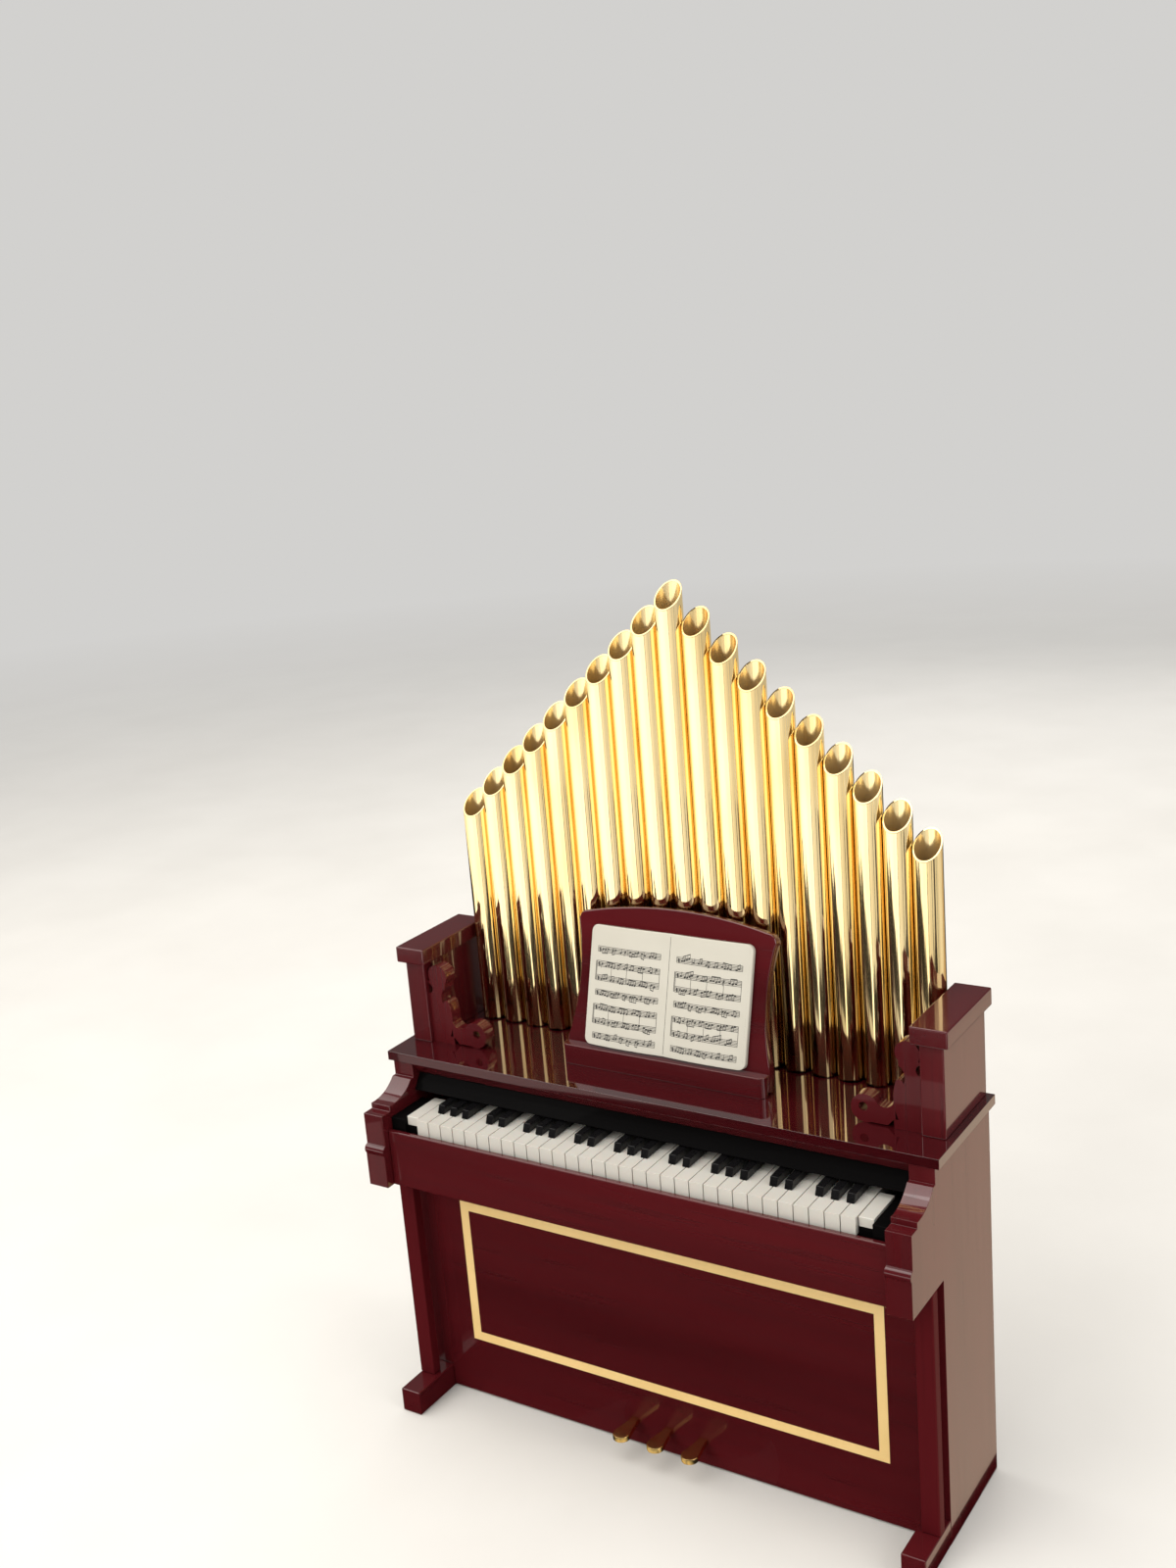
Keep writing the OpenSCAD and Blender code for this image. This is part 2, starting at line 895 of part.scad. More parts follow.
module speaker_cone() {
  cone_r = speaker_d / 2 - basket_step - basket_wall - cone_fit;
  color("dimgray")
    translate([speaker_x, y_in, speaker_z])
      rotate([90, 0, 0])
        rotate_extrude()
          polygon([[0, cone_low], [cone_in, cone_low], [cone_r, basket_rim_t],
            [cone_r, basket_rim_t + cone_t], [cone_in, cone_low + cone_t], [0, cone_low + cone_t]]);
}

module speaker_magnet() {
  color("darkgray")
    pin_forward(speaker_x, y_in - basket_neck_h, speaker_z, magnet_r, magnet_t);
}

module circuit_board() {
  color("green")
    translate([jack_x - pcb_margin, y_in - pcb_in - pcb_t, control_z - pcb_h / 2])
      cube([switch_x - jack_x + 2 * pcb_margin, pcb_t, pcb_h]);
}

// bodies of the volume control and the switch, and the sound chip, all soldered on the board
module board_parts() {
  slot_w = 2 * switch_travel + lever_w + 2 * lever_fit;
  slot_h = lever_h + 2 * lever_fit;
  color("dimgray") {
    difference() {
      translate([knob_x - pot_w / 2, y_in - part_d, control_z - pot_w / 2])
        cube([pot_w, part_d, pot_w]);
      pin_forward(knob_x, y_in + past, control_z, shaft_r + shaft_fit, shaft_len + 2 * past);
    }
    difference() {
      translate([switch_x - slot_w / 2 - past, y_in - part_d, control_z - slot_h])
        cube([slot_w + 2 * past, part_d, 2 * slot_h]);
      translate([switch_x - slot_w / 2, y_in - lever_in - past, control_z - slot_h / 2])
        cube([slot_w, lever_in + 2 * past, slot_h]);
    }
    translate([jack_x + chip[1], y_in - pcb_in - pcb_t - chip[1], control_z - chip[2] / 2])
      cube(chip);
  }
}

module end_keys() {
  color("ivory")
    for (s = [0, 1])
      mirror([s, 0, 0])
        translate([key_x(keys_n) + key_gap / 2, key_y + end_back, key_z - end_key_t])
          cube([key_pitch - key_gap / 2, key_show + fall_t - end_back, end_key_t]);
}

module key_cheeks() {
  color("black")
    for (s = [0, 1])
      mirror([s, 0, 0]) {
        translate([key_x(keys_n + 1), key_y, bed_top])
          cube([cheek_w, key_show + fall_t, key_z - cheek_drop - bed_top]);
        translate([key_x(keys_n) + key_gap / 2, key_y + end_back, bed_top])
          cube([key_pitch, key_show + fall_t - end_back, key_z - end_key_t - bed_top]);
      }
}

module pivot_rod() {
  color("silver")
    translate([-inner - rod_end, pivot_y, pivot_z])
      rotate([0, 90, 0])
        cylinder(r = rod_r, h = 2 * (inner + rod_end));
}

// folded channel under the key tails, its top flange draws the magnetic tails down
module keeper_channel() {
  color("silver")
    translate([keeper_inset - inner, keeper_y, bed_top])
      difference() {
        cube([2 * (inner - keeper_inset), keeper_d, keeper_h]);
        translate([-past, keeper_t, keeper_t])
          cube([2 * (inner - keeper_inset + past), keeper_d, keeper_h - 2 * keeper_t]);
      }
}

module coil_rail() {
  color("silver") {
    translate([-inner, coil_y - coil_r - magnet_rail_edge, magnet_rail_z])
      cube([2 * inner, magnet_rail_d, magnet_rail_t]);
    for (n = [1:9])
      translate([group_mid(n), coil_y, core_z])
        cylinder(r = core_r, h = magnet_rail_z - core_z + magnet_rail_t / 2);
  }
}

module key_coils() {
  color("chocolate")
    for (n = [1:9])
      translate([group_mid(n), coil_y, core_z + coil_gap])
        difference() {
          cylinder(r = coil_r, h = magnet_rail_z - core_z - coil_gap);
          translate([0, 0, -past])
            cylinder(r = core_r + coil_fit, h = magnet_rail_z - core_z + 2 * past);
        }
}

module white_keys(n) {
  x0 = group_left(n);
  x1 = group_right(n);
  color("ivory")
    difference() {
      translate([x0, key_y, key_z - key_h])
        cube([x1 - x0, tail_y - key_y, key_h]);
      for (k = [group_first[n - 1] + 1:group_last[n - 1]])
        translate([key_x(k) - key_gap / 2, key_y - past, key_z - key_h - past])
          cube([key_gap, key_show + fall_t + past, key_h + 2 * past]);
      translate([x0 - past, pivot_y, pivot_z])
        rotate([0, 90, 0])
          cylinder(r = rod_r + rod_clear, h = x1 - x0 + 2 * past);
    }
}

// side view of a black key, from its sloping front to the bar behind the fallboard
module black_profile() {
  front = fall_y - black_show;
  polygon([[front, 0], [bar_y + past, 0], [bar_y + past, black_h], [front + black_slope, black_h]]);
}

module black_keys(n) {
  x0 = group_left(n);
  x1 = group_right(n);
  color("black")
    translate([0, 0, key_z]) {
      translate([x0, bar_y, 0])
        cube([x1 - x0, tail_y - bar_y, black_h]);
      for (k = [group_first[n - 1]:group_last[n - 1] - 1])
        if (has_black(k))
          translate([key_x(k + 1) - black_w / 2, 0, 0])
            rotate([90, 0, 90])
              linear_extrude(black_w)
                black_profile();
    }
}

module white_keys_1() { white_keys(1); }
module white_keys_2() { white_keys(2); }
module white_keys_3() { white_keys(3); }
module white_keys_4() { white_keys(4); }
module white_keys_5() { white_keys(5); }
module white_keys_6() { white_keys(6); }
module white_keys_7() { white_keys(7); }
module white_keys_8() { white_keys(8); }
module white_keys_9() { white_keys(9); }
module black_keys_1() { black_keys(1); }
module black_keys_2() { black_keys(2); }
module black_keys_3() { black_keys(3); }
module black_keys_4() { black_keys(4); }
module black_keys_5() { black_keys(5); }
module black_keys_6() { black_keys(6); }
module black_keys_7() { black_keys(7); }
module black_keys_8() { black_keys(8); }
module black_keys_9() { black_keys(9); }

left_side_panel();
right_side_panel();
left_leg();
right_leg();
left_foot();
right_foot();
kneeboard();
inlay_frame();
pedals();
base_board();
key_bed();
keyslip();
fallboard();
fall_rail();
shelf();
left_post();
right_post();
left_cap();
right_cap();
left_bracket();
right_bracket();
organ_pipes();
pipe_dowels();
desk_panel();
desk_ledge();
songbook();
back_panel();
back_screws();
volume_knob();
mode_switch();
inlet_jack();
speaker_basket();
speaker_cone();
speaker_magnet();
circuit_board();
board_parts();
end_keys();
key_cheeks();
pivot_rod();
keeper_channel();
coil_rail();
key_coils();
white_keys_1();
white_keys_2();
white_keys_3();
white_keys_4();
white_keys_5();
white_keys_6();
white_keys_7();
white_keys_8();
white_keys_9();
black_keys_1();
black_keys_2();
black_keys_3();
black_keys_4();
black_keys_5();
black_keys_6();
black_keys_7();
black_keys_8();
black_keys_9();
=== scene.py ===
import math
import random

import bpy
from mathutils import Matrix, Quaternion, Vector


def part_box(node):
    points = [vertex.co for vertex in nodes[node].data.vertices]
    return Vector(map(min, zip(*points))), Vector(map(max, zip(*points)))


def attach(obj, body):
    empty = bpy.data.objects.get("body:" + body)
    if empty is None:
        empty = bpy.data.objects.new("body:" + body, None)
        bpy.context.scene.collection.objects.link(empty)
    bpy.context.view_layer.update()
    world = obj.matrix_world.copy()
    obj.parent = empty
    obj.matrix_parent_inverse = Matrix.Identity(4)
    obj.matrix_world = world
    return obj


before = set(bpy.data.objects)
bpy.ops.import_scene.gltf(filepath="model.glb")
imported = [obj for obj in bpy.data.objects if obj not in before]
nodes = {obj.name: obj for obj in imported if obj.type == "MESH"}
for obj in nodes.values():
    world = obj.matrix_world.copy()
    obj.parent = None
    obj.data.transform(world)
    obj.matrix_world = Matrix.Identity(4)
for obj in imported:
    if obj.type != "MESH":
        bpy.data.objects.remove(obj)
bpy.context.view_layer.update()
MM = 0.001


# Materials

class Maker:
    """A node material with one principled shader and its object coordinates."""

    def __init__(self, name, color, rough, **inputs):
        self.mat = bpy.data.materials.new(name)
        self.mat.use_nodes = True
        self.tree = self.mat.node_tree
        self.tree.nodes.clear()
        self.out = self.add("ShaderNodeOutputMaterial")
        self.bsdf = self.add("ShaderNodeBsdfPrincipled")
        self.link(self.bsdf.outputs[0], self.out.inputs[0])
        self.bsdf.inputs["Base Color"].default_value = (*color, 1)
        self.bsdf.inputs["Roughness"].default_value = rough
        for key, value in inputs.items():
            self.bsdf.inputs[key.replace("_", " ")].default_value = value
        self.coord = self.add("ShaderNodeTexCoord").outputs["Object"]
        self.mat.diffuse_color = (*color, 1)

    def add(self, kind, **values):
        node = self.tree.nodes.new(kind)
        for key, value in values.items():
            setattr(node, key, value)
        return node

    def link(self, a, b):
        self.tree.links.new(a, b)

    def fill(self, slots, values):
        """Sets each slot to a number, or links it to a socket."""
        for slot, value in zip(slots, values):
            if isinstance(value, (int, float)):
                slot.default_value = value
            else:
                self.link(value, slot)

    def calc(self, operation, *values):
        node = self.add("ShaderNodeMath", operation=operation)
        self.fill(node.inputs, values)
        return node.outputs[0]

    def length(self, vector):
        node = self.add("ShaderNodeVectorMath", operation="LENGTH")
        self.link(vector, node.inputs[0])
        return node.outputs["Value"]

    def stretched(self, scale, turn=(0.0, 0.0, 0.0)):
        """Object coordinates, scaled and turned."""
        mapping = self.add("ShaderNodeMapping")
        mapping.inputs["Scale"].default_value = scale
        mapping.inputs["Rotation"].default_value = turn
        self.link(self.coord, mapping.inputs["Vector"])
        return mapping.outputs[0]

    def noise(self, vector, scale, detail=3.0, rough=0.5):
        node = self.add("ShaderNodeTexNoise")
        node.inputs["Scale"].default_value = scale
        node.inputs["Detail"].default_value = detail
        node.inputs["Roughness"].default_value = rough
        self.link(vector, node.inputs["Vector"])
        return node.outputs["Fac"]

    def ramp(self, fac, stops):
        node = self.add("ShaderNodeValToRGB")
        elements = node.color_ramp.elements
        while len(elements) < len(stops):
            elements.new(0.5)
        for element, (place, color) in zip(elements, stops):
            element.position = place
            element.color = (*color, 1)
        self.link(fac, node.inputs["Fac"])
        return node.outputs["Color"]

    def span(self, fac, low, high, start=0.3, end=0.7):
        """A value that goes from low to high as fac goes from start to end."""
        node = self.add("ShaderNodeMapRange")
        node.inputs["From Min"].default_value = start
        node.inputs["From Max"].default_value = end
        node.inputs["To Min"].default_value = low
        node.inputs["To Max"].default_value = high
        self.link(fac, node.inputs["Value"])
        return node.outputs[0]

    def mixed(self, fac, socket, color):
        """The socket's colour, which gives way to another colour as fac rises."""
        node = self.add("ShaderNodeMix", data_type="RGBA")
        self.link(fac, node.inputs[0])
        self.link(socket, node.inputs[6])
        node.inputs[7].default_value = (*color, 1)
        return node.outputs[2]

    def bump(self, height, strength, distance, under=None):
        node = self.add("ShaderNodeBump")
        node.inputs["Strength"].default_value = strength
        node.inputs["Distance"].default_value = distance
        self.link(height, node.inputs["Height"])
        if under is not None:
            self.link(under, node.inputs["Normal"])
        return node.outputs[0]

    def emit(self, tint, strength):
        """Makes the material glow; strength is a number or a socket."""
        light = self.add("ShaderNodeEmission")
        light.inputs["Color"].default_value = (*tint, 1)
        self.fill([light.inputs["Strength"]], [strength])
        self.link(light.outputs[0], self.out.inputs[0])

    def color(self, socket):
        self.link(socket, self.bsdf.inputs["Base Color"])

    def rough(self, socket):
        self.link(socket, self.bsdf.inputs["Roughness"])

    def normal(self, socket):
        self.link(socket, self.bsdf.inputs["Normal"])


# Wood: noise scales across and along the fibres
PORES = (160.0, 5.0)
FIGURE = (26.0, 2.4)


def fibres(axis, scales):
    """Noise scales in x, y and z for fibres that run along one axis."""
    across, along = scales
    return tuple(along if letter == axis else across for letter in "xyz")


def lacquer(name, along, dark, mid, light, coat=1.0, rough=(0.16, 0.28), gloss=1.6, under=0.2):
    """Stained wood under gloss lacquer: grain along one axis, pores, and a faint orange peel."""
    m = Maker(name, mid, rough[0], Coat_Weight=coat, Coat_Roughness=0.025, Coat_IOR=gloss, IOR=1.5,
              Specular_IOR_Level=under)
    figure = m.noise(m.stretched(fibres(along, FIGURE)), 1.0, 4.0, 0.55)
    grain = m.noise(m.stretched(fibres(along, PORES)), 2.2, 3.0, 0.6)
    base = m.ramp(figure, [(0.28, dark), (0.52, mid), (0.78, light)])
    pores = m.span(grain, 0.0, 0.55, 0.56, 0.72)
    m.color(m.mixed(pores, base, dark))
    m.rough(m.span(grain, *rough))
    peel = m.noise(m.stretched((1.0, 1.0, 1.0), (0.6, 0.9, 0.4)), 300.0, 3.0)
    wave = m.noise(m.stretched((1.0, 1.0, 1.0), (0.3, 0.5, 0.8)), 22.0, 1.0)
    m.normal(m.bump(peel, 0.008, 0.0002, m.bump(wave, 0.045, 0.0008)))
    return m.mat


# Brass: share of the colour left where it is darkest, the painted contact shadow at the foot of a tube, and
# the dull bore
DEEPER = (0.90, 0.82, 0.66)
# Painted contact shadow where the tubes stand on the shelf: its colour, and the raggedness and blur of its
# top edge
FOOT_SHADE_DARK = (0.012, 0.007, 0.004)
FOOT_SHADE_RAGGED = -0.0022
FOOT_SHADE_BLUR = 0.0006
BORE_EDGE = (0.00005, 0.00015)
BORE_ROUGH = 0.10
BORE_METAL = 0.84


def brass(name, color, rough, streak, tubes=None):
    """Polished brass with drawing marks along z and a faint uneven tint.

    tubes describes a row of tubes: height of the painted contact shadow at their foot, pitch, depth of the
    row and bore radius.
    """
    m = Maker(name, color, rough[0], Metallic=1.0, Specular_Tint=(1.0, 0.93, 0.78, 1.0))
    marks = m.noise(m.stretched((900.0, 900.0, 6.0)), 1.0, 3.0, 0.6)
    tint = m.noise(m.stretched((60.0, 60.0, 16.0)), 1.0, 3.0, 0.5)
    deep = tuple(c * k for c, k in zip(color, DEEPER))
    tone = m.ramp(tint, [(0.25, deep), (0.55, color), (0.85, color)])
    polish = m.span(marks, *rough)
    if tubes is not None:
        foot, pitch, depth, bore = tubes
        split = m.add("ShaderNodeSeparateXYZ")
        m.link(m.coord, split.inputs[0])
        x, y, z = split.outputs
        # Painted shade: the tubes darken up to a ragged line just above their foot, where they stand on the
        # shelf
        uneven = m.noise(m.stretched((330.0, 330.0, 330.0)), 1.0, 2.0)
        height = m.calc("MULTIPLY_ADD", uneven, FOOT_SHADE_RAGGED, z)
        tone = m.mixed(m.span(height, 1.0, 0.0, foot - FOOT_SHADE_BLUR, foot), tone, FOOT_SHADE_DARK)
        across = m.add("ShaderNodeCombineXYZ")
        m.fill(across.inputs, (m.calc("WRAP", x, pitch / 2, -pitch / 2), m.calc("SUBTRACT", y, depth)))
        from_axis = m.length(across.outputs[0])
        edge = [bore + step for step in BORE_EDGE]
        polish = m.calc("MULTIPLY_ADD", m.span(from_axis, 1.0, 0.0, *edge), BORE_ROUGH, polish)
        m.link(m.span(from_axis, BORE_METAL, 1.0, *edge), m.bsdf.inputs["Metallic"])
    m.color(tone)
    m.rough(polish)
    m.normal(m.bump(marks, streak, 0.00008))
    return m.mat


def moulded(name, color, tone, rough, grain_scale, grain, **inputs):
    """Moulded or glazed material: slow tone change, fine surface grain."""
    m = Maker(name, color, rough[0], **inputs)
    slow = m.noise(m.coord, 38.0, 3.0)
    fine = m.noise(m.coord, grain_scale, 2.0)
    m.color(m.ramp(slow, [(0.3, tone), (0.7, color)]))
    m.rough(m.span(fine, *rough))
    m.normal(m.bump(fine, grain, 0.00012))
    return m.mat


# Woods, each as dark, middle and light tone
RED = ((0.048, 0.0036, 0.0052), (0.070, 0.0054, 0.0076), (0.090, 0.0074, 0.0098))
# The red lacquer darkened for the shelf top, as painted shade
SHADED_RED = ((0.030, 0.0022, 0.0034), (0.045, 0.0034, 0.0050), (0.060, 0.0048, 0.0066))
BLACK = ((0.0016, 0.0014, 0.0015), (0.0025, 0.0022, 0.0023), (0.0038, 0.0033, 0.0034))
BROWN = ((0.040, 0.0095, 0.0062), (0.088, 0.0210, 0.0125), (0.132, 0.0350, 0.0200))

red_x = lacquer("red_lacquer_along_x", "x", *RED)
red_y = lacquer("red_lacquer_along_y", "y", *RED)
red_z = lacquer("red_lacquer_along_z", "z", *RED)
red_leg = lacquer("red_lacquer_legs", "z", *RED, coat=0.04, rough=(0.30, 0.42), under=0.02)
# The shelf: a higher polish and gloss as its finish, and its red darkened as painted shade
shaded_red_top = lacquer("red_lacquer_polished_shaded", "x", *SHADED_RED, rough=(0.05, 0.10), gloss=2.3, under=0.8)
black_x = lacquer("black_lacquer", "x", *BLACK, coat=0.015, rough=(0.42, 0.6), under=0.04)
wood_x = lacquer("stained_wood", "x", *BROWN, coat=0.12, rough=(0.38, 0.56))

# Pipes, in metres; the painted contact shadow at the foot of the tubes reaches just above the shelf
PIPES = 19
PIPE_WALL = 0.0007
PIPE_FOOT = 0.1646
GOLD = (0.900, 0.715, 0.385)
row_low, row_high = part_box("organ_pipes")
pipe_d = row_high.y - row_low.y
pipe_pitch = (row_high.x - row_low.x - pipe_d) / (PIPES - 1)
pipe_brass = brass("pipe_brass", GOLD, (0.045, 0.11), 0.10,
                   (PIPE_FOOT, pipe_pitch, (row_low.y + row_high.y) / 2, pipe_d / 2 - PIPE_WALL))
pedal_brass = brass("pedal_brass", (0.90, 0.66, 0.28), (0.09, 0.16), 0.05)
copper = brass("copper_wire", (0.60, 0.24, 0.10), (0.2, 0.35), 0.2)

inlay = moulded("inlay_gold", (0.92, 0.660, 0.290), (0.86, 0.600, 0.240), (0.30, 0.42), 1500.0, 0.05,
                Metallic=0.1, Coat_Weight=0.2, Coat_Roughness=0.1)
ivory = moulded("ivory", (0.565, 0.542, 0.492), (0.545, 0.520, 0.468), (0.21, 0.26), 420.0, 0.008,
                Coat_Weight=0.35, Coat_Roughness=0.08, Subsurface_Weight=0.06, Subsurface_Scale=0.002)
ebony = moulded("ebony", (0.0060, 0.0056, 0.0062), (0.0040, 0.0038, 0.0042), (0.24, 0.36), 900.0, 0.03,
                Specular_IOR_Level=0.22, Coat_Weight=0.12, Coat_Roughness=0.12)
porcelain = moulded("porcelain", (0.56, 0.535, 0.462), (0.535, 0.508, 0.435), (0.14, 0.22), 260.0, 0.02,
                    Coat_Weight=0.6, Coat_Roughness=0.05)
ink = moulded("fired_ink", (0.030, 0.028, 0.026), (0.055, 0.050, 0.046), (0.32, 0.45), 2400.0, 0.05)
steel = moulded("steel", (0.58, 0.58, 0.58), (0.50, 0.50, 0.51), (0.24, 0.38), 1800.0, 0.06, Metallic=1.0)
plastic = moulded("black_plastic", (0.016, 0.016, 0.017), (0.011, 0.011, 0.012), (0.42, 0.56), 2600.0, 0.30)
paper = moulded("cone_paper", (0.030, 0.029, 0.028), (0.020, 0.019, 0.018), (0.75, 0.9), 1400.0, 0.4)
ferrite = moulded("ferrite", (0.06, 0.06, 0.065), (0.04, 0.04, 0.045), (0.6, 0.75), 900.0, 0.35)
board_green = moulded("board_green", (0.010, 0.105, 0.040), (0.008, 0.080, 0.032), (0.3, 0.45), 700.0, 0.1)

# Nodes that aren't listed have red lacquer with upright grain
LOOK = {
    "organ_pipes": pipe_brass, "pedals": pedal_brass, "inlay_frame": inlay, "songbook": porcelain,
    "end_keys": ivory, "key_cheeks": black_x, "fallboard": black_x, "base_board": wood_x, "key_bed": wood_x,
    "back_panel": wood_x, "pipe_dowels": wood_x, "back_screws": steel, "pivot_rod": steel,
    "keeper_channel": steel, "coil_rail": steel, "speaker_basket": steel, "volume_knob": plastic,
    "mode_switch": plastic, "inlet_jack": plastic, "board_parts": plastic, "speaker_cone": paper,
    "speaker_magnet": ferrite, "circuit_board": board_green, "key_coils": copper,
    "left_cap": red_y, "right_cap": red_y, "left_foot": red_y, "right_foot": red_y,
    "shelf": shaded_red_top, "kneeboard": red_x, "keyslip": red_x, "fall_rail": red_x, "desk_ledge": red_x,
    "desk_panel": red_x, "left_leg": red_leg, "right_leg": red_leg,
}
# Width of the rounded edges in millimetres; nodes that aren't listed keep sharp edges
BEVEL = {
    "left_side_panel": 0.6, "right_side_panel": 0.6, "shelf": 0.45, "left_cap": 0.6, "right_cap": 0.6,
    "left_post": 0.5, "right_post": 0.5, "left_leg": 0.6, "right_leg": 0.6, "left_foot": 0.6,
    "right_foot": 0.6, "keyslip": 0.5, "fallboard": 0.2, "fall_rail": 0.2, "left_bracket": 0.9,
    "right_bracket": 0.9, "desk_panel": 0.9, "desk_ledge": 0.7, "songbook": 0.35, "organ_pipes": 0.14,
    "pedals": 0.3, "end_keys": 0.28, "key_cheeks": 0.3, "back_screws": 0.12, "volume_knob": 0.2,
    "mode_switch": 0.2, "inlet_jack": 0.25,
}
# Look and edge width of the nodes whose names start so
KEYS = {"white_keys": (ivory, 0.19), "black_keys": (ebony, 0.3)}
WELD_GAP = 0.000005
FLAT_ANGLE = math.radians(0.4)
EDGE_ANGLE = math.radians(32)
EDGE_STEPS = 3


def dress(name, obj):
    """Gives a CAD node its material and softly rounded edges."""
    look, width = LOOK.get(name, red_z), BEVEL.get(name, 0.0)
    for start, of_keys in KEYS.items():
        if name.startswith(start):
            look, width = of_keys
    obj.material_slots[0].material = look
    if width:
        weld = obj.modifiers.new("weld", "WELD")
        weld.merge_threshold = WELD_GAP
        flat = obj.modifiers.new("flat", "DECIMATE")
        flat.decimate_type = "DISSOLVE"
        flat.angle_limit = FLAT_ANGLE
        bevel = obj.modifiers.new("bevel", "BEVEL")
        bevel.width = width * MM
        bevel.segments = EDGE_STEPS
        bevel.limit_method = "ANGLE"
        bevel.angle_limit = EDGE_ANGLE
        weighted = obj.modifiers.new("weighted", "WEIGHTED_NORMAL")
        weighted.keep_sharp = False
        weighted.weight = 50


for node_name, node_object in nodes.items():
    dress(node_name, node_object)


# Pieces made here

def new_mesh(name, verts, faces, material):
    """A mesh object of one material, linked into the scene."""
    data = bpy.data.meshes.new(name)
    data.from_pydata(verts, [], faces)
    obj = bpy.data.objects.new(name, data)
    bpy.context.scene.collection.objects.link(obj)
    data.materials.append(material)
    return obj


def mesh_piece(name, verts, faces, material, body):
    """A piece of the object that rides with a body."""
    obj = new_mesh(name, verts, faces, material)
    obj.data.validate()
    obj.data.update()
    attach(obj, body)
    return obj


# Songbook, in millimetres on the slope of the desk
SHELF_TOP = 164.5
DESK_Y = 9.9822
DESK_LEAN = math.radians(16)
DESK_T = 5.0
LEDGE_TOP = 8.6
BOOK_W = 74.4
BOOK_T = 3.8
BOOK_LIFT = 0.02
PAGE_R = 108.0
BOOK_Z = (LEDGE_TOP - DESK_T * math.sin(DESK_LEAN)) / math.cos(DESK_LEAN) + BOOK_LIFT

# Faces of the ink above and below the page
INK_TOP = 0.035
INK_FOOT = -0.03
BAR_STEP = 2.0
OVAL_SIDES = 10


def on_page(x, z, lift):
    """A point on the curved page, x from the fold and z from the foot of the page, in metres."""
    middle = math.copysign(BOOK_W / 4, x)
    bow = PAGE_R - math.sqrt(PAGE_R ** 2 - (x - middle) ** 2)
    y = -DESK_T - BOOK_T + bow - lift
    up = BOOK_Z + z
    back = y * math.cos(DESK_LEAN) + up * math.sin(DESK_LEAN)
    height = -y * math.sin(DESK_LEAN) + up * math.cos(DESK_LEAN)
    return (x * MM, (DESK_Y + back) * MM, (SHELF_TOP + height) * MM)


class Print:
    """Collects flat marks of ink, each a thin closed solid lying on the page."""

    def __init__(self):
        self.verts = []
        self.faces = []

    def mark(self, outline):
        """A mark with the given outline of (x, z), anticlockwise as seen by the reader."""
        n = len(outline)
        base = len(self.verts)
        for lift in (INK_TOP, INK_FOOT):
            self.verts += [on_page(x, z, lift) for x, z in outline]
        self.faces.append([base + i for i in range(n)])
        self.faces.append([base + n + i for i in reversed(range(n))])
        for i in range(n):
            j = (i + 1) % n
            self.faces.append([base + j, base + i, base + n + i, base + n + j])

    def bar(self, x0, z0, x1, z1, thick):
        """A straight line, cut into short lengths so that it follows the page."""
        steps = max(1, int(abs(x1 - x0) / BAR_STEP))
        dx, dz = x1 - x0, z1 - z0
        size = math.hypot(dx, dz)
        nx, nz = -dz / size * thick / 2, dx / size * thick / 2
        low = [(x0 + dx * i / steps - nx, z0 + dz * i / steps - nz) for i in range(steps + 1)]
        high = [(x0 + dx * i / steps + nx, z0 + dz * i / steps + nz) for i in range(steps + 1)]
        n = steps + 1
        top = len(self.verts)
        foot = top + 2 * n
        for lift in (INK_TOP, INK_FOOT):
            self.verts += [on_page(x, z, lift) for x, z in low]
            self.verts += [on_page(x, z, lift) for x, z in high]
        for i in range(steps):
            self.faces.append([top + i, top + i + 1, top + n + i + 1, top + n + i])
            self.faces.append([foot + n + i, foot + n + i + 1, foot + i + 1, foot + i])
            self.faces.append([foot + i, foot + i + 1, top + i + 1, top + i])
            self.faces.append([top + n + i, top + n + i + 1, foot + n + i + 1, foot + n + i])
        self.faces.append([top, top + n, foot + n, foot])
        self.faces.append([foot + n - 1, foot + 2 * n - 1, top + 2 * n - 1, top + n - 1])

    def dot(self, x, z, rx, rz, tilt=0.35):
        """A note head: a tilted oval."""
        ring = []
        for i in range(OVAL_SIDES):
            a = i * math.tau / OVAL_SIDES
            u, w = rx * math.cos(a), rz * math.sin(a)
            ring.append((x + u * math.cos(tilt) - w * math.sin(tilt),
                         z + u * math.sin(tilt) + w * math.cos(tilt)))
        self.mark(ring)


# Printed music: pages from left to right, middle lines of the staves from the foot of the page
PAGES = ((-33.2, -3.6), (3.8, 33.4))
STAVES = [39.7, 33.7, 27.9, 21.9, 15.9, 10.1, 4.1]
PAIRED = {1: 2, 4: 5}
GAP = 0.56
MEASURES = 4
STAFF_LINE = 0.19
BAR_LINE = 0.15
BRACKET_LINE = 0.3
BRACKET_OUT = 0.45
HEAD = (0.52, 0.38)
STEM = 1.75
STEM_OUT = 0.4
STEM_LINE = 0.16
BEAM_LINE = 0.36
BEAM_PAST = 0.06
FIRST_NOTE = 2.6
LAST_GROUP = 1.4
LAST_NOTE = 1.0
HIGHEST = 4
FOLD_X = 0.14
FOLD_Z = (0.8, 48.2)
FOLD_LINE = 0.16
rng = random.Random(11)
staff_ink, note_ink = Print(), Print()


def draw_staff(row, mid, left, right):
    """Five lines, the bar lines, and the bracket of a pair of staves."""
    for line in range(-2, 3):
        staff_ink.bar(left, mid + line * GAP, right, mid + line * GAP, STAFF_LINE)
    low, high = mid - 2 * GAP, mid + 2 * GAP
    if row in PAIRED:
        low = STAVES[PAIRED[row]] - 2 * GAP
        staff_ink.bar(left - BRACKET_OUT, low, left - BRACKET_OUT, high, BRACKET_LINE)
    if row not in PAIRED.values():
        for k in range(MEASURES + 1):
            place = left + (right - left) * k / MEASURES
            staff_ink.bar(place, low, place, high, BAR_LINE)


